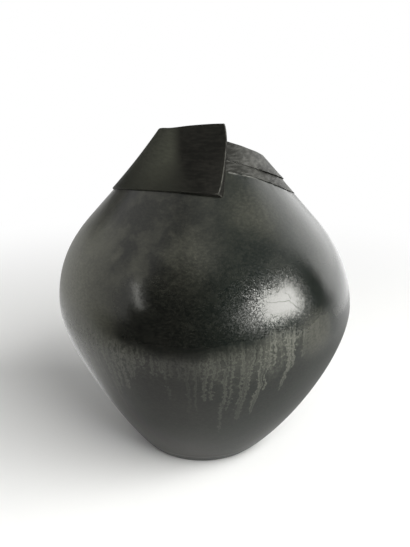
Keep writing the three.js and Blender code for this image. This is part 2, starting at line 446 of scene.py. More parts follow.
def with_smears_and_reflection(add, place, haze, specks):
    """The haze with the smears and the painted reflection, which are streaky as the specks are."""
    streaky = add("MapRange", 0, {"Value": specks, "From Min": 0.3, "From Max": 0.65, "To Min": 0.5})
    for centre, inner, outer, strength in SMEARS_AND_REFLECTION:
        away = away_from(add, place, centre, inner, outer)
        smear = add("MapRange", 0, {"Value": away, "To Min": strength, "To Max": 0.0})
        haze = add("Math", 0, {0: smear, 1: streaky, 2: haze}, operation="MULTIPLY_ADD")
    return haze


# %% Skin of the glaze
# Lengths are in millimetres, but the width of a crack is a share of the spacing.
GRAIN = 0.9
GRAIN_ELSEWHERE = 0.15
POOL_GRAIN = 0.3
WAVE_LENGTH = 14
CRACK_SPACING = 34
CRACK_WIDTH = 0.012
CRACK_DEPTH = 0.05
CRACK_BEND = 12
CRACK_BEND_LENGTH = 20

# Spots of the skin: a centre, an inner and an outer radius in millimetres. One is grainy all over, and one is
# a smooth pool in it.
GRAINY_SPOT = ((45, -130, 185), 35, 90)
POOL = ((78, -119, 203), 5, 33)


def hair_cracks(add, place):
    """0 in the middle of a crack, and 1 beside it."""
    stray = add("TexNoise", 1, {"Vector": place, "Scale": per(CRACK_BEND_LENGTH), "Detail": 3.0})
    bend = [CRACK_BEND * MM] * 3
    bent = add("VectorMath", 0, {0: stray, 1: bend, 2: place}, operation="MULTIPLY_ADD")
    crack = add("TexVoronoi", 0, {"Vector": bent, "Scale": per(CRACK_SPACING)}, feature="DISTANCE_TO_EDGE")
    return add("MapRange", 0, {"Value": crack, "From Max": CRACK_WIDTH}, **EASED)


def glaze_skin(add, place, facet_lean, wave_depth):
    """The normal of the glaze's skin: slow waves, grain in facets, and hair cracks in the smooth pool."""
    calm = away_from(add, place, *GRAINY_SPOT)
    outside_pool = away_from(add, place, *POOL)
    grainy = add("MapRange", 0, {"Value": calm, "To Min": 1.0, "To Max": GRAIN_ELSEWHERE})
    rippled = add("MapRange", 0, {"Value": outside_pool, "To Min": POOL_GRAIN})
    in_pool = add("MapRange", 0, {"Value": outside_pool, "To Min": 1.0, "To Max": 0.0})
    waves = add("TexNoise", 0, {"Vector": place, "Scale": per(WAVE_LENGTH), "Detail": 2.0})
    wavy = add("Bump", 0, {"Height": waves, "Strength": 1.0, "Distance": wave_depth * MM})
    facets = add("TexVoronoi", "Color", {"Vector": place, "Scale": per(GRAIN)})
    centred = add("VectorMath", 0, {0: facets, 1: (0.5, 0.5, 0.5)}, operation="SUBTRACT")
    lean = product(add, (grainy, rippled, facet_lean))
    leaning = add("VectorMath", 0, {0: centred, "Scale": lean}, operation="SCALE")
    sparkling = add("VectorMath", 0, {0: wavy, 1: leaning}, operation="ADD")
    sparkling = add("VectorMath", 0, {0: sparkling}, operation="NORMALIZE")
    return add("Bump", 0,
               {"Height": hair_cracks(add, place), "Strength": in_pool,
                "Distance": CRACK_DEPTH * MM, "Normal": sparkling})


# %% Where the matte glaze has run
RUN_TOP = 170
RUN_TOP_UNEVEN = 18
RUN_DIP = 4
RUN_DIP_TURN = radians(-9)
RUN_DIP_WIDTH = radians(42)
RUN_CLIMB = 13
RUN_LONGEST = 118
RUN_SWAY = 0.06
RUN_SWAY_LENGTH = 26
RUN_WIGGLE = 0.03
RUN_WIGGLE_LENGTH = 8

# How long the runs are round the pot: turn from the front in degrees, share of the longest run.
RUN_LENGTHS = (
    (-180, 0.35), (-130, 0.55), (-95, 0.4), (-60, 0.75), (-38, 0.92), (-24, 0.78), (-10, 0.7), (1, 0.74),
    (8, 0.84), (13, 1.0), (20, 0.9), (27, 0.97), (33, 0.75), (38, 0.55), (43, 0.3), (50, 0.24), (60, 0.2),
    (75, 0.12), (110, 0.3), (180, 0.35),
)

# How strongly the runs show round the pot: turn from the front in degrees, share.
RUN_STRENGTHS = (
    (-180, 0.4), (-100, 0.35), (-40, 0.5), (-24, 0.34), (-12, 0.2), (-4, 0.14), (2, 0.3), (18, 0.44),
    (27, 0.75), (36, 0.85), (43, 0.35), (60, 0.25), (180, 0.4),
)


def curve_around(add, turn, table):
    """A share that changes round the pot as a table says."""
    around = add("MapRange", 0, {"Value": turn, "From Min": -pi, "From Max": pi})
    curve = add("FloatCurve", 0, {"Value": around})
    mapping = curve.node.mapping
    line = mapping.curves[0]
    for angle, share in table[1:-1]:
        line.points.new((angle + 180) / 360, share)
    line.points[0].location = (0, table[0][1])
    line.points[-1].location = (1, table[-1][1])
    mapping.update()
    return curve


def turn_from(add, turn, middle):
    """How far round the pot a place is from a turn, to either side."""
    past = add("Math", 0, {0: turn, 1: middle}, operation="SUBTRACT")
    return add("Math", 0, {0: past}, operation="ABSOLUTE")


def place_in_runs(add, place):
    """The turn round the pot, the turn with the sway of the runs, and the millimetres below their top."""
    axes = add("SeparateXYZ", None, {0: place})
    to_front = add("Math", 0, {0: axes["Y"], 1: -1.0}, operation="MULTIPLY")
    turn = add("Math", 0, {0: axes["X"], 1: to_front}, operation="ARCTAN2")
    sway = add("TexNoise", 0, {"Vector": place, "Scale": per(RUN_SWAY_LENGTH), "Detail": 2.0})
    wiggle = add("TexNoise", 0, {"Vector": place, "Scale": per(RUN_WIGGLE_LENGTH), "Detail": 1.0})
    swayed = turn
    for shift, most in ((sway, RUN_SWAY), (wiggle, RUN_WIGGLE)):
        swayed = add("Math", 0, {0: shift, 1: most, 2: swayed}, operation="MULTIPLY_ADD")
    top = add("MapRange", 0,
              {"Value": turn_from(add, turn, RUN_DIP_TURN), "From Max": RUN_DIP_WIDTH,
               "To Min": RUN_TOP - RUN_DIP, "To Max": RUN_TOP + RUN_CLIMB}, **EASED)
    higher = add("Math", 0, {0: sway, 1: RUN_TOP_UNEVEN, 2: -RUN_TOP_UNEVEN / 2}, operation="MULTIPLY_ADD")
    uneven_top = add("Math", 0, {0: top, 1: higher}, operation="ADD")
    height = add("Math", 0, {0: axes["Z"], 1: 1 / MM}, operation="MULTIPLY")
    depth = add("Math", 0, {0: uneven_top, 1: height}, operation="SUBTRACT")
    return turn, swayed, depth


# %% One set of drips
# The drips of two sizes: their spacing and half their width in millimetres, and a shift that parts the two.
DRIPS = ((17.0, 2.6, 0.0), (9.0, 1.5, 3.7))
SHORTEST_DRIP = 0.25
NARROWEST_DRIP = 0.5
WIDEST_DRIP = 1.5
DRIP_TOP_WIDER = 1.2
DRIP_TIP = 0.06


def drip(add, turn, depth, longest, spacing, half_width, shift):
    """How far inside a drip a place is, in millimetres. A drip is wide at its start and round at its tip."""
    along = add("Math", 0, {0: turn, 1: BELLY_RADIUS / spacing, 2: shift}, operation="MULTIPLY_ADD")
    cell = add("TexVoronoi", None, {"W": along, "Scale": 1.0}, voronoi_dimensions="1D")
    chances = add("SeparateColor", None, {0: cell["Color"]})
    share = add("MapRange", 0, {"Value": chances[0], "To Min": SHORTEST_DRIP})
    wide = add("MapRange", 0, {"Value": chances[1], "To Min": NARROWEST_DRIP, "To Max": WIDEST_DRIP})
    breadth = product(add, (wide, half_width))
    length = product(add, (share, longest))
    down = add("Math", 0, {0: depth, 1: length}, operation="DIVIDE")
    left = add("MapRange", 0, {"Value": down, "To Min": 1.0, "To Max": 0.0})
    shoulder = add("Math", 0, {0: left, 1: 4.0}, operation="POWER")
    taper = add("Math", 0, {0: shoulder, 1: DRIP_TOP_WIDER, 2: 1.0}, operation="MULTIPLY_ADD")
    tip = add("MapRange", 0, {"Value": left, "From Max": DRIP_TIP})
    rounded = add("Math", 0, {0: tip, 1: 0.5}, operation="POWER")
    reach = product(add, (taper, rounded, breadth))
    aside = product(add, (cell["Distance"], spacing))
    inside = add("Math", 0, {0: reach, 1: aside}, operation="SUBTRACT")
    to_tip = add("Math", 0, {0: length, 1: depth}, operation="SUBTRACT")
    return add("Math", 0, {0: inside, 1: to_tip}, operation="MINIMUM")


# %% Runs of matte grey glaze
RUN_BAND = 0.36
RUN_FADE = 16
RUN_STRETCH = 14
RUN_STREAK = 3
DRIP_EDGE = 0.7
CRUMB = 3.4
RAGGED = 12
FAR_OUTSIDE = -9.0
WHOLE_TURN = radians(14)
WHOLE_WIDTH = radians(25)


def run_streaks(add, place, turn):
    """Fine streaks down the wall: noise on the unrolled wall, drawn out downwards."""
    axes = add("SeparateXYZ", None, {0: place})
    across = add("Math", 0, {0: turn, 1: BELLY_RADIUS * MM}, operation="MULTIPLY")
    shrunk = add("Math", 0, {0: axes["Z"], 1: RUN_STRETCH}, operation="DIVIDE")
    flow = add("CombineXYZ", 0, {0: across, 2: shrunk})
    streaks = add("TexNoise", 0,
                  {"Vector": flow, "Scale": per(RUN_STREAK), "Detail": 3.0, "Roughness": 0.6})
    return add("MapRange", 0, {"Value": streaks, "From Min": 0.38, "From Max": 0.56, "To Min": 0.35})


def glaze_runs(add, place):
    """How much matte glaze lies on the surface, and how pale it is broken there, both from 0 to 1."""
    turn, swayed, depth = place_in_runs(add, place)
    strength = curve_around(add, swayed, RUN_STRENGTHS)
    longest = product(add, (curve_around(add, swayed, RUN_LENGTHS), RUN_LONGEST))
    begun = add("MapRange", 0, {"Value": depth, "From Max": RUN_FADE}, **EASED)
    crumbs = add("TexNoise", 0, {"Vector": place, "Scale": per(CRUMB), "Detail": 3.0, "Roughness": 0.7})
    ragged = add("Math", 0, {0: crumbs, 1: RAGGED, 2: -RAGGED / 2}, operation="MULTIPLY_ADD")
    inside = FAR_OUTSIDE
    for sizes in DRIPS:
        one = drip(add, swayed, depth, longest, *sizes)
        inside = add("Math", 0, {0: one, 1: inside}, operation="MAXIMUM")
    inside = add("Math", 0, {0: inside, 1: ragged}, operation="ADD")
    covered = add("MapRange", 0, {"Value": inside, "From Min": -DRIP_EDGE, "From Max": DRIP_EDGE}, **EASED)
    down = add("Math", 0, {0: depth, 1: longest}, operation="DIVIDE")
    thinning = add("MapRange", 0,
                   {"Value": down, "From Min": 0.3, "From Max": 0.8, "To Min": 1.0, "To Max": 0.45})
    drips = product(add, (covered, thinning))
    band = add("MapRange", 0,
               {"Value": down, "From Min": 1.5 * RUN_BAND, "From Max": 0.5 * RUN_BAND}, **EASED)
    lying = add("Math", 0, {0: drips, 1: band}, operation="MAXIMUM")
    whole = add("MapRange", 0,
                {"Value": turn_from(add, turn, WHOLE_TURN), "From Min": 0.5 * WHOLE_WIDTH,
                 "From Max": WHOLE_WIDTH, "To Min": 0.7, "To Max": 0.1})
    grainy = add("MapRange", 0, {"Value": crumbs, "From Min": 0.4, "From Max": 0.58, "To Min": whole})
    amount = product(add, (lying, run_streaks(add, place, swayed), grainy, strength, begun))
    rim = add("MapRange", 0, {"Value": inside, "From Min": 2.0, "From Max": 0.6, "To Max": 0.9}, **EASED)
    crumb = add("MapRange", 0, {"Value": crumbs, "From Min": 0.54, "From Max": 0.66, "To Max": 0.9})
    on_drip = product(add, (rim, covered))
    line = add("Math", 0, {0: on_drip, 1: crumb}, operation="MAXIMUM")
    pale = product(add, (line, strength, begun, lying))
    return amount, pale


# %% Layers of the body's glaze
# Heights and sides are pairs of places in millimetres, where a layer begins and where it is whole.
SATIN_HEIGHTS = (212, 240)
SATIN_ROUGHNESS = 0.3
DRY_HEIGHTS = (172, 128)
DRY_ROUGHNESS = 0.62
DRY_SIDES = (-105, -40)
DRY_AT_SIDE = 0.15
DRY_AT_FOOT = 0.4
FOOT_GLOSS = 120
VEIL = "#646457"
VEIL_SIDES = (-74, -145)
VEIL_HEIGHTS = (150, 195)
VEIL_BELOW = 0.4
VEIL_ROUGHNESS = 0.45
SLEEK_ROUGHNESS = 0.13
# Near the foot at the left, the glaze is painted paler. This is painted light, standing in for the light that
# the white floor throws up there.
FOOT_PAINTED_LIGHT = "#3f3f3d"
FOOT_PAINTED_LIGHT_HEIGHTS = (72, 5)
FOOT_PAINTED_LIGHT_SIDES = (40, -20)
RUN_GREY = "#46473f"
RUN_EDGE = "#5e5f56"
RUN_ROUGHNESS = 0.52


def body_layers(add, place, specks):
    """What lies over the iron glaze: shares with their colours, and shares with their roughnesses."""
    side = share_along(add, place, "X", *VEIL_SIDES)
    high = share_along(add, place, "Z", *VEIL_HEIGHTS)
    drifts = add("MapRange", 0, {"Value": specks, "From Min": 0.35, "From Max": 0.65, "To Min": 0.65})
    raised_veil = add("MapRange", 0, {"Value": high, "To Min": VEIL_BELOW})
    veil = product(add, (side, drifts, raised_veil))
    side_roughness = add("MapRange", 0,
                         {"Value": high, "To Min": SLEEK_ROUGHNESS, "To Max": VEIL_ROUGHNESS})
    # Painted light, low at the left, by the foot.
    low = share_along(add, place, "Z", *FOOT_PAINTED_LIGHT_HEIGHTS)
    foot_left = share_along(add, place, "X", *FOOT_PAINTED_LIGHT_SIDES)
    painted_light_at_foot = product(add, (low, foot_left))
    satin = share_along(add, place, "Z", *SATIN_HEIGHTS)
    dry = share_along(add, place, "Z", *DRY_HEIGHTS)
    middle = share_along(add, place, "X", *DRY_SIDES)
    raised = share_along(add, place, "Z", 0, FOOT_GLOSS)
    for share, least in ((middle, DRY_AT_SIDE), (raised, DRY_AT_FOOT)):
        kept = add("MapRange", 0, {"Value": share, "To Min": least})
        dry = product(add, (dry, kept))
    amount, pale = glaze_runs(add, place)
    colours = [(painted_light_at_foot, FOOT_PAINTED_LIGHT), (veil, VEIL), (amount, RUN_GREY), (pale, RUN_EDGE)]
    roughnesses = [
        (satin, SATIN_ROUGHNESS), (side, side_roughness), (dry, DRY_ROUGHNESS), (amount, RUN_ROUGHNESS)
    ]
    return colours, roughnesses


# %% Wear, a painted highlight on the lips, and painted light on the slab
SEAM_ZONE = 10
# The painted highlight on the lip under each seam: its width and core in millimetres, its strength, and where
# it fades out towards the right.
LIP_HIGHLIGHT_WIDTH = 1.6
LIP_HIGHLIGHT_CORE = 0.4
LIP_HIGHLIGHT_SHARE = 0.5
LIP_HIGHLIGHT_SIDES = (60, 42)
WORN_PATCH = 9


def wear_and_lip_highlight(add, place):
    """Wear along the round edges, with a painted highlight on the lips under the seams, all in patches."""
    near_seam = add("Attribute", "Fac", {}, attribute_name="near_seam")
    # A painted highlight: a pale line on the lip just under each seam, beside the slab.
    lip_highlight = add("MapRange", 0,
              {"Value": near_seam, "From Min": 1 - LIP_HIGHLIGHT_WIDTH / SEAM_ZONE,
               "From Max": 1 - LIP_HIGHLIGHT_CORE * LIP_HIGHLIGHT_WIDTH / SEAM_ZONE, "To Max": LIP_HIGHLIGHT_SHARE})
    beside_slab = share_along(add, place, "X", *LIP_HIGHLIGHT_SIDES)
    lip_highlight = product(add, (lip_highlight, beside_slab))
    edge = add("Attribute", "Fac", {}, attribute_name="wear")
    wear = add("Math", 0, {0: edge, 1: lip_highlight}, operation="MAXIMUM")
    patchy = add("TexNoise", 0, {"Vector": place, "Scale": per(WORN_PATCH), "Detail": 3.0})
    patch = add("MapRange", 0, {"Value": patchy, "From Min": 0.36, "From Max": 0.58})
    return product(add, (wear, patch))


def painted_light_share(add, speck):
    """How strongly the painted light lies on the left of the slab, which the specks break up."""
    painted_light = add("Attribute", "Fac", {}, attribute_name="painted_light")
    unmarked = add("MapRange", 0, {"Value": speck, "From Max": 0.5, "To Min": 1.0, "To Max": 0.5})
    return product(add, (painted_light, unmarked))


# %% Make the glazes
GLAZE_IOR = 1.5
GLAZE_TINT = (1.0, 0.995, 0.94, 1.0)
# A paler olive, painted as light on the left of the slab.
PAINTED_LIGHT_OLIVE = "#3e3f37"
GREEN_BLACK = "#0b110e"
GREEN_SIDES = (-30, 40)
SPECK = 1.8
BODY_SPECK_STRETCH = 0.55
COLLAR_SPECK_STRETCH = 0.25

# Glossier spots: a centre, an inner and an outer radius in millimetres, and the share of the roughness that
# is left. One is round the pool, and one is a streak at the left.
GLOSSY_SPOTS = (((78, -108, 212), 28, 66, 0.72), ((-57, -125, 210), 14, 34, 0.7))


def glaze(
    name, dark, hazy, worn_and_highlight, roughness, hazy_roughness, facet_lean, wave_depth, shine, marks,
    haze_and_shade_from, haze_and_shade_to, of_body=False,
):
    """A glaze. Its haze changes between two places from left to right, which on the collar is painted shade.
    """
    material, add = new_material(name)
    place = add("TexCoord", "Object", {})
    level = BODY_SPECK_STRETCH if of_body else COLLAR_SPECK_STRETCH
    drawn_out = add("VectorMath", 0, {0: place, 1: (level, level, 1.0)}, operation="MULTIPLY")
    specks = add("TexNoise", 0, {"Vector": drawn_out, "Scale": per(SPECK), "Detail": 3.0})
    speck = add("MapRange", 0, {"Value": specks, "From Min": 0.42, "From Max": 0.72, "To Max": marks})
    # How strong the haze is from left to right. On the collar, the weak haze by the slab is painted shade.
    across = share_along(add, place, "X", haze_and_shade_from[0], haze_and_shade_to[0])
    haze_and_shade_here = add("MapRange", 0, {"Value": across, "To Min": haze_and_shade_from[1], "To Max": haze_and_shade_to[1]})
    haze = product(add, (glaze_haze(add, place), haze_and_shade_here))
    if of_body:
        haze = with_smears_and_reflection(add, place, haze, specks)
    cloudy = add("Math", 0, {0: haze, 1: speck}, operation="ADD")
    rough = add("MapRange", 0, {"Value": haze, "To Min": roughness, "To Max": hazy_roughness})
    for centre, inner, outer, least in GLOSSY_SPOTS:
        away = away_from(add, place, centre, inner, outer)
        clear = add("MapRange", 0, {"Value": away, "To Min": least})
        rough = product(add, (rough, clear))

    colours = [(cloudy, hazy)]
    roughnesses = []
    if of_body:
        right = share_along(add, place, "X", *GREEN_SIDES)
        over_colours, roughnesses = body_layers(add, place, specks)
        colours = [(right, GREEN_BLACK)] + colours + over_colours
    # The pale colour of wear also paints the highlight on the lips under the seams.
    colours += [(wear_and_lip_highlight(add, place), worn_and_highlight), (painted_light_share(add, speck), PAINTED_LIGHT_OLIVE)]
    paint = colour(dark)
    for share, over in colours:
        paint = add("Mix", 2, {0: share, 6: paint, 7: colour(over)}, data_type="RGBA")
    for share, over in roughnesses:
        rough = add("Mix", 0, {0: share, 2: rough, 3: over}, data_type="FLOAT")

    skin = glaze_skin(add, place, facet_lean, wave_depth)
    shader = add("BsdfPrincipled", 0,
                 {"Base Color": paint, "Roughness": rough, "Normal": skin, "IOR": GLAZE_IOR,
                  "Specular IOR Level": shine, "Specular Tint": GLAZE_TINT})
    add("OutputMaterial", None, {"Surface": shader})
    return material


iron_glaze = glaze(
    "satin_iron_glaze", "#0c0d0b", "#3c3c34", "#8a8a84", 0.27, 0.36, 0.16, 0.12, 0.4, 0.16,
    haze_and_shade_from=(-120, 1.3), haze_and_shade_to=(40, 0.25), of_body=True,
)
# On the collar the haze fades out towards the slab: painted shade from the slab beside the bands.
collar_glaze = glaze(
    "thin_grey_glaze", "#1b1b18", "#545450", "#80807a", 0.46, 0.54, 0.3, 0.4, 0.07, 0.5,
    haze_and_shade_from=(28, 0.1), haze_and_shade_to=(58, 1.0),
)
slab_glaze = glaze(
    "brown_black_glaze", "#131311", "#2a2925", "#44443f", 0.42, 0.5, 0.3, 0.1, 0.03, 0.3,
    haze_and_shade_from=(0, 0.3), haze_and_shade_to=(1, 0.3),
)
print("glazes", iron_glaze.name, collar_glaze.name, slab_glaze.name)

# %% [markdown]
# Bare stoneware
#
# Under the foot the glaze is wiped away before firing, so that the pot does not stick to the kiln shelf.
# The clay is a warm grey-brown, dry and rough, with darker iron specks of about a millimetre.

# %% Make the bare clay
CLAY_DARK = "#5d554b"
CLAY_PALE = "#7f766a"
CLAY_SPECK = "#2f2a25"
CLAY_TONE_LENGTH = 18
CLAY_SPECK_SPACING = 6
CLAY_GRIT = 1.2
CLAY_GRIT_DEPTH = 0.2


def bare_clay():
    material, add = new_material("bare_stoneware")
    place = add("TexCoord", "Object", {})
    tone = add("TexNoise", 0, {"Vector": place, "Scale": per(CLAY_TONE_LENGTH), "Detail": 5.0})
    specks = add("TexVoronoi", 0, {"Vector": place, "Scale": per(CLAY_SPECK_SPACING)})
    speck = add("MapRange", 0, {"Value": specks, "From Min": 0.16, "From Max": 0.08})
    paint = colour(CLAY_DARK)
    for share, over in ((tone, CLAY_PALE), (speck, CLAY_SPECK)):
        paint = add("Mix", 2, {0: share, 6: paint, 7: colour(over)}, data_type="RGBA")
    grit = add("TexNoise", 0, {"Vector": place, "Scale": per(CLAY_GRIT), "Detail": 2.0})
    skin = add("Bump", 0, {"Height": grit, "Strength": 0.7, "Distance": CLAY_GRIT_DEPTH * MM})
    shader = add("BsdfPrincipled", 0, {"Base Color": paint, "Roughness": 0.88, "Normal": skin, "IOR": 1.45})
    add("OutputMaterial", None, {"Surface": shader})
    return material


stoneware = bare_clay()
print("clay", stoneware.name)

# %% [markdown]
# Foot and body
#
# The body was thrown in two halves and joined at the belly, where the glaze now hides the seam. Each half
# is a slice of the turned wall. The foot is the lowest slice of the outline, closed by a flat face, with
# its lower edge rounded and its underside bare.

# %% Foot disc
UNDER_INSET = 6
DOWNWARD = -0.9

foot = spun(0)
bmesh.ops.holes_fill(foot, edges=sliced(foot, *FLOOR_TOP), sides=0)
bmesh.ops.recalc_face_normals(foot, faces=foot.faces)
soften(foot, FOOT_BEVEL, chosen=lambda place: place.z < FLOOR / 2)
under = [face for face in foot.faces if face.normal.z < DOWNWARD]
bmesh.ops.inset_region(foot, faces=under, thickness=UNDER_INSET * MM)
for face in foot.faces:
    face.material_index = 1 if face.normal.z < DOWNWARD else 0
finish_piece(foot, "foot_disc", "base_disc", [iron_glaze, stoneware])

# %% Lower half
lower = wall(0, WALL, FLOOR_TOP, BELLY_SEAM)
finish_piece(lower, "belly_lower_half", "lower_body", [iron_glaze])

# %% [markdown]
# The tilted collar
#
# The neck is cut off on a slant, and two bands of slab are set on it, each a little proud of what is below,
# so that their lower edges show as two lines at the right. Each is a slice of the same wall between two
# tilted planes. The planes fall to the right and to the back. Under each seam the lip of the piece below
# catches the light, and the glaze there gets a painted highlight, so a second point attribute, near_seam,
# says how near the seam above a point is.

# %% Marks for the glaze
WORN_TURNS = (radians(34), radians(52))
WORN_ELSEWHERE = 0.15


def wear_beside_slab(shell):
    """The glaze is broken along the seams beside the slab, and whole further round."""
    wear = shell.verts.layers.float["wear"]
    for vert in shell.verts:
        vert[wear] *= mix(1, WORN_ELSEWHERE, eased(abs(turn_of(vert.co)), *WORN_TURNS))


def mark_seam(shell, height):
    """Marks how near the seam above a point is: 1 at the seam, and 0 at the end of the zone below it."""
    near = shell.verts.layers.float.new("near_seam")
    for vert in shell.verts:
        vert[near] = max(1 + above_seam(vert.co / MM, height) / SEAM_ZONE, 0)


# %% Upper half and rings
SEAM_MARGIN = 1

upper = wall(0, WALL, BELLY_SEAM, COLLAR_SEAM)
soften(upper, LIP_EDGE, chosen=lambda place: place.z > (BELLY_HEIGHT + SHOULDER_HEIGHT) / 2)
wear_beside_slab(upper)
mark_seam(upper, collar_height)
finish_piece(upper, "belly_upper_half", "upper_body", [iron_glaze])

lower_ring = wall(LOWER_RING_PROUD, WALL + LOWER_RING_PROUD, COLLAR_SEAM, RING_SEAM)
soften(lower_ring, COLLAR_EDGE, chosen=lambda place: above_seam(place, ring_seam_height) < -SEAM_MARGIN)
wear_beside_slab(lower_ring)
mark_seam(lower_ring, ring_seam_height)
finish_piece(lower_ring, "collar_lower_band", "collar_lower_ring", [collar_glaze])

upper_ring = wall(UPPER_RING_PROUD, WALL + UPPER_RING_PROUD, RING_SEAM, RIM)
soften(upper_ring, LIP_EDGE)
wear_beside_slab(upper_ring)
finish_piece(upper_ring, "collar_upper_band", "collar_upper_ring", [collar_glaze])

# %% [markdown]
# The front slab
#
# A broad rolled slab wraps the left of the neck. Past the front, its foot still follows the neck, while its
# head leaves the neck along a tangent, as a free flap. The slab is laid out flat first: a grid gets its
# thickness from an extrusion, and every point is then moved to where that place of the slab lies on the
# neck. A lattice or a curve modifier could bend it, but the edges have to follow the tilted rim and the
# skirt line exactly, and a short mapping says that plainly.
# The left of the slab is painted a paler olive with a straight edge. This is painted light, standing in for
# the light that falls on that part of the slab. A point attribute says where it lies.

# %% Sizes of the slab, in millimetres
SLAB_THICKNESS = 4.5
SLAB_FOOT_PROUD = 1.8
SLAB_HEAD_PROUD = 5.9
FLAP_TURN = radians(-15)
FLAP_LENGTH = 41.2
FLAP_FOOT_CUTBACK = 10
FLAP_HEAD_CUTBACK = 10.6
FLAP_END_SLANT = 4.6
FLAP_FOOT_DROP = 3.4
FLAP_UNDERCUT = 2
FLAP_LIFT_START = 30
FLAP_PEEL = 1.5
SLAB_WRAP = 108
SLAB_END_SLOPE = 42
SLAB_SKIRT = 9
SLAB_SKIRT_RADIUS = 190
SLAB_ABOVE_RIM = 0.5
SLAB_RISE = 11
SLAB_RISE_START = 60
SLAB_EDGE = 0.9
SLAB_FACES_ALONG = 110
SLAB_FACES_ACROSS = 26

neck_radius = SHOULDER_RADIUS - tan(SHOULDER_LEAN) * COLLAR_RISE

# %% Where a place of the flat slab lies on the neck
def slab_turn(along):
    return FLAP_TURN + min(along, 0) / neck_radius


def skirt_edge(along, through):
    wrap_drop = min(along, 0) ** 2 / (2 * SLAB_SKIRT_RADIUS)
    end_drop = FLAP_FOOT_DROP + FLAP_UNDERCUT * (1 - through)
    return -SLAB_SKIRT - wrap_drop - end_drop * eased(along, 0, FLAP_LENGTH)


def head_edge(along):
    fall = tan(RIM_TILT) * sin(slab_turn(along) - RIM_TURN)
    head_radius = neck_radius + SLAB_HEAD_PROUD * cos(SHOULDER_LEAN)
    head_height = collar_height + SLAB_HEAD_PROUD * sin(SHOULDER_LEAN)
    slope = cos(SHOULDER_LEAN) - fall * sin(SHOULDER_LEAN)
    to_rim = (rim_height - head_height - fall * head_radius) / slope
    return to_rim + SLAB_ABOVE_RIM + SLAB_RISE * eased(along, -SLAB_RISE_START, FLAP_LENGTH)


def foot_proud(along):
    return mix(SLAB_FOOT_PROUD, SLAB_THICKNESS, eased(along, -FLAP_LIFT_START, FLAP_LENGTH))


def on_neck(length_share, across, through):
    wrapped_end = -SLAB_WRAP - SLAB_END_SLOPE * across
    cutback = FLAP_FOOT_CUTBACK * (1 - across) ** 4 + FLAP_HEAD_CUTBACK * across**3
    slant = FLAP_END_SLANT * (1 - across) ** 2 * (1 - through)
    along = mix(wrapped_end, FLAP_LENGTH - cutback + slant, length_share)
    up = mix(skirt_edge(along, through), head_edge(along), across)
    proud = mix(foot_proud(along), SLAB_HEAD_PROUD, across**2)
    out = mix(proud - SLAB_THICKNESS, proud, through)
    radius = neck_radius - up * sin(SHOULDER_LEAN) + out * cos(SHOULDER_LEAN)
    hold = (1 - across) ** FLAP_PEEL
    turn = slab_turn(along) + hold * max(along, 0) / neck_radius
    beyond = (1 - hold) * max(along, 0)
    return Vector((
        radius * sin(turn) + beyond * cos(turn),
        -radius * cos(turn) + beyond * sin(turn),
        collar_height + up * cos(SHOULDER_LEAN) + out * sin(SHOULDER_LEAN),
    )) * MM


# %% Marks on the slab
SLAB_WORN_FROM = 8
SLAB_WORN_TO = 16
SLAB_WORN_LEFT = 0.1

# Two heights on the slab, and at each of them the place where the painted light ends, half the width of its
# fade, and its strength.
PAINTED_LIGHT_HEIGHTS = (285, 325)
PAINTED_LIGHT_ENDS = (-34, -25)
PAINTED_LIGHT_FADES = (40, 7)
PAINTED_LIGHT_STRENGTHS = (0.5, 1)


def mark_slab(shell):
    wear = shell.verts.layers.float["wear"]
    painted_light = shell.verts.layers.float.new("painted_light")
    for vert in shell.verts:
        right = vert.co.x / MM
        vert[wear] *= mix(SLAB_WORN_LEFT, 1, eased(right, SLAB_WORN_FROM, SLAB_WORN_TO))
        # Painted light on the left of the slab, as a paler olive that fades out towards the right.
        high = eased(vert.co.z / MM, *PAINTED_LIGHT_HEIGHTS)
        end = mix(*PAINTED_LIGHT_ENDS, high)
        fade = mix(*PAINTED_LIGHT_FADES, high)
        vert[painted_light] = (1 - eased(right, end - fade, end + fade)) * mix(*PAINTED_LIGHT_STRENGTHS, high)


# %% Front slab
slab = bmesh.new()
bmesh.ops.create_grid(slab, x_segments=SLAB_FACES_ALONG, y_segments=SLAB_FACES_ACROSS, size=0.5)
raised = bmesh.ops.extrude_face_region(slab, geom=slab.faces[:], use_keep_orig=True)
top = [part for part in raised["geom"] if isinstance(part, bmesh.types.BMVert)]
bmesh.ops.translate(slab, verts=top, vec=(0, 0, 1))
bmesh.ops.recalc_face_normals(slab, faces=slab.faces)
for vert in slab.verts:
    vert.co = on_neck(vert.co.x + 0.5, vert.co.y + 0.5, vert.co.z)
bmesh.ops.recalc_face_normals(slab, faces=slab.faces)
soften(slab, SLAB_EDGE)
mark_slab(slab)
finish_piece(slab, "front_slab", "collar_front_slab", [slab_glaze], with_seams=False)

# %% [markdown]
# Coils inside
#
# Over each seam, a soft coil was pressed flat from the inside. Nobody sees them but a hand, and they still
# belong to the pot. Each is a thin slice just inside the wall, with its edges rounded over.

# %% Seam coils
COIL_THICKNESS = 4
COIL_LAP = 7
COIL_ROUND = 2.2


def coil(name, node, low, high, tilt=0, turn=0):
    shell = wall(-WALL - SLIP, COIL_THICKNESS, (low, tilt, turn), (high, tilt, turn))
    soften(shell, COIL_ROUND)
    finish_piece(shell, name, node, [iron_glaze])


coil("coil_at_floor", "floor_seam_coil", FLOOR + SLIP, FLOOR + SLIP + COIL_LAP)
coil("coil_at_belly", "belly_seam_coil", BELLY_HEIGHT - COIL_LAP, BELLY_HEIGHT + COIL_LAP)
coil("coil_at_neck", "neck_seam_coil",
     collar_height - COIL_LAP, ring_seam_height + COIL_LAP, SEAM_TILT, SEAM_TURN)

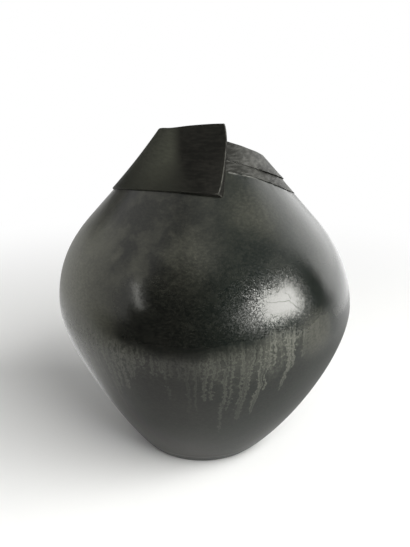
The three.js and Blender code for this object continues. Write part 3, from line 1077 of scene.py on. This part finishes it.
# %% [markdown]
# Floor and room
#
# The vase stands on a sheet of white paper in a white room. Near the vase the sheet is paper and takes its
# shadow. Further out it turns to a plain white glow, for the camera and in the glaze. In the glaze the glow
# starts nearer the vase at the left, and behind the vase at the left it reaches right up to it, over the
# paper's shadow. There the glaze mirrors a glow that no lamp gives.
# A black pot in an all-white room would turn grey, so five black cards stand for the dark parts of the room.
# The camera doesn't see them, and they throw no shadow. Only the glaze mirrors them.

# %% Floor
SHEET_RADIUS = 2.6
SHEET_SIDES = 96
PAPER = "#f2f2f0"

# Where the sheet begins to turn white and where it is white, in metres from the middle of the vase: as the
# camera sees it, and as the glaze mirrors it at the right and at the left.
SEEN_WHITE = (0.36, 0.85)
MIRRORED_RIGHT = (0.32, 0.6)
MIRRORED_LEFT = (0.1, 0.3)

# Where right turns to left, and front to back, in millimetres.
RIGHT_TO_LEFT = (150, -100)
FRONT_TO_BACK = (-10, 90)


def floor_sheet():
    material, add = new_material("white_paper")
    paper = add("BsdfDiffuse", 0, {"Color": colour(PAPER)})
    white = add("Emission", 0, {"Color": WHITE, "Strength": 1.0})
    place = add("TexCoord", "Object", {})
    away = add("VectorMath", "Value", {0: place}, operation="LENGTH")
    far = add("MapRange", 0, {"Value": away, "From Min": SEEN_WHITE[0], "From Max": SEEN_WHITE[1]}, **EASED)
    left = share_along(add, place, "X", *RIGHT_TO_LEFT)
    start, end = [
        add("MapRange", 0, {"Value": left, "To Min": at_right, "To Max": at_left})
        for at_right, at_left in zip(MIRRORED_RIGHT, MIRRORED_LEFT)
    ]
    # In the glaze the sheet glows white from near the vase. Behind it at the left, the glow reaches right up
    # to the vase, over its shadow.
    mirrored_glow = add("MapRange", 0, {"Value": away, "From Min": start, "From Max": end}, **EASED)
    behind_left = product(add, (left, share_along(add, place, "Y", *FRONT_TO_BACK)))
    mirrored_glow = add("Math", 0, {0: mirrored_glow, 1: behind_left}, operation="MAXIMUM")
    rays = add("LightPath", None, {})
    seen = product(add, (far, rays["Is Camera Ray"]))
    share = add("Math", 0, {0: mirrored_glow, 1: rays["Is Glossy Ray"], 2: seen}, operation="MULTIPLY_ADD")
    blend = add("MixShader", 0, {0: share, 1: paper, 2: white})
    add("OutputMaterial", None, {"Surface": blend})
    sheet = bmesh.new()
    bmesh.ops.create_circle(sheet, cap_ends=True, segments=SHEET_SIDES, radius=SHEET_RADIUS)
    floor = placed(sheet, "floor", [material])
    print(floor.name, "of radius", SHEET_RADIUS, "m")


floor_sheet()

# %% Black cards
# Each card is a row of pairs of corners, in metres.
CARDS = {
    "card_beside_camera": (
        ((-3.1, -0.42, 0.004), (1.5, -0.42, 0.004)),
        ((-3.1, -1.9, 0.004), (1.5, -1.9, 0.004)),
        ((-2.05, -1.9, 5.2), (1.5, -1.9, 1.15)),
    ),
    "card_above_window": (
        ((0.56, -2.09, 1.25), (1.95, 0.5, 1.25)),
        ((0.32, -1.21, 2.16), (1.56, 0.33, 1.6)),
    ),
    "card_at_right": (
        ((1.9, -0.06, 0.0), (1.8, 0.59, 0.0)),
        ((1.9, -0.06, 1.4), (1.8, 0.59, 1.4)),
    ),
    "card_at_back_left": (
        ((-0.35, 1.97, 0.08), (-1.62, 1.18, 0.62)),
        ((-0.35, 1.97, 0.7), (-1.62, 1.18, 1.2)),
    ),
    "card_on_floor": (
        ((-0.02, -0.41, 0.004), (-0.02, -0.42, 0.004)),
        ((-0.2, -0.32, 0.004), (-0.2, -0.42, 0.004)),
        ((-0.36, -0.19, 0.004), (-0.36, -0.42, 0.004)),
        ((-0.55, -0.1, 0.004), (-0.55, -0.42, 0.004)),
        ((-3.1, 0.1, 0.004), (-3.1, -0.42, 0.004)),
    ),
}
CARD_BLACK = "#0a0a0a"


def black_card(name, pairs, material):
    card = bmesh.new()
    lines = [[card.verts.new(corner) for corner in pair] for pair in pairs]
    for (left, right), (next_left, next_right) in zip(lines, lines[1:]):
        card.faces.new((left, right, next_right, next_left))
    flag = placed(card, name, [material])
    flag.visible_camera = False
    flag.visible_diffuse = False
    flag.visible_shadow = False


black_felt, add_felt = new_material("black_felt")
felt = add_felt("BsdfDiffuse", 0, {"Color": colour(CARD_BLACK)})
add_felt("OutputMaterial", None, {"Surface": felt})
for card_name, corner_pairs in CARDS.items():
    black_card(card_name, corner_pairs, black_felt)
print("black cards", list(CARDS))

# %% [markdown]
# Light
#
# Two area lamps at the front right light the vase and throw its soft shadow to the left. The glaze doesn't
# mirror them. What it mirrors is a window at the front right, which gives the bright patch on the belly, a
# white wall at the right, which gives the sheen on the shoulder, and a narrow strip at the left. These are
# lamps too, because the glaze shows an area lamp in its own shape, and they light nothing else.
# Each lamp is given by its direction, distance, size and brightness, where 1 is that of white paper.

# %% Lamps
TARGET = Vector((0.02, -0.04, 0.19))


def lamp(name, turn, height, distance, size, brightness, roll=0, mirrored=False):
    """A lamp, with angles in degrees and sizes in metres. It is either mirrored or lights the scene."""
    turn, height = radians(turn), radians(height)
    towards = Vector((cos(height) * sin(turn), -cos(height) * cos(turn), sin(height)))
    light = bpy.data.lights.new(name, "AREA")
    light.shape = "RECTANGLE"
    light.size, light.size_y = size
    light.energy = brightness * pi * size[0] * size[1]
    holder = bpy.data.objects.new(name, light)
    holder.location = TARGET + towards * distance
    rolled = Quaternion((0, 0, 1), radians(roll))
    holder.rotation_euler = (towards.to_track_quat("Z", "Y") @ rolled).to_euler()
    holder.visible_camera = False
    holder.visible_glossy = mirrored
    holder.visible_diffuse = not mirrored
    bpy.context.scene.collection.objects.link(holder)
    print("lamp", name)


lamp("window", 61, 15.5, 1.6, (1.0, 0.62), 19, mirrored=True)
lamp("window_side", 34, 10, 1.5, (0.44, 0.32), 5.4, mirrored=True)
lamp("right_wall", 133, 16, 1.7, (1.5, 1.1), 1.85, mirrored=True)
lamp("right_wall_top", 120, 40, 1.7, (1.0, 0.45), 1.75, mirrored=True)
lamp("right_wall_foot", 138, -9.5, 0.56, (0.5, 0.15), 1.25, mirrored=True)
lamp("left_strip", -54, 22, 1.6, (0.09, 0.6), 8, roll=28, mirrored=True)
lamp("front_light", 29, 14, 1.8, (1.0, 0.43), 10)
lamp("sky", 50, 45, 1.8, (2.4, 0.62), 9.9)

# %% World
ROOM_LIGHT = 0.38

world = bpy.data.worlds.new("white_room")
bpy.context.scene.world = world
add_room = adder(world)
ray = add_room("LightPath", None, {})
seen_room = ray["Is Camera Ray"]
for other in ("Is Glossy Ray", "Is Transmission Ray"):
    seen_room = add_room("Math", 0, {0: seen_room, 1: ray[other]}, operation="MAXIMUM")
room_level = add_room("MapRange", 0, {"Value": seen_room, "To Min": ROOM_LIGHT})
room = add_room("Background", 0, {"Color": WHITE, "Strength": room_level})
add_room("OutputWorld", None, {"Surface": room})
print("world", world.name)

# %% [markdown]
# Camera
#
# The photograph looks down on the vase by 20 degrees from about a metre away. The focal length is given in
# pixels of a picture 547 pixels high, and turned to the millimetres of a 36 mm sensor.

# %% Camera
IMAGE_HEIGHT = 547
FOCAL_PIXELS = 1000
SENSOR = 36
CAMERA_PITCH = radians(20)
CAMERA_DISTANCE = 1.034
AIM = Vector((0.0031, 0, 0.1865))

lens = bpy.data.cameras.new("camera")
lens.sensor_fit = "VERTICAL"
lens.sensor_height = SENSOR
lens.lens = SENSOR * FOCAL_PIXELS / IMAGE_HEIGHT
camera = bpy.data.objects.new("camera", lens)
camera.location = AIM + Vector((0, -cos(CAMERA_PITCH), sin(CAMERA_PITCH))) * CAMERA_DISTANCE
camera.rotation_euler = (pi / 2 - CAMERA_PITCH, 0, 0)
bpy.context.scene.collection.objects.link(camera)
bpy.context.scene.camera = camera
bpy.context.scene.view_settings.view_transform = "Standard"
print("lens", round(lens.lens, 1), "mm")
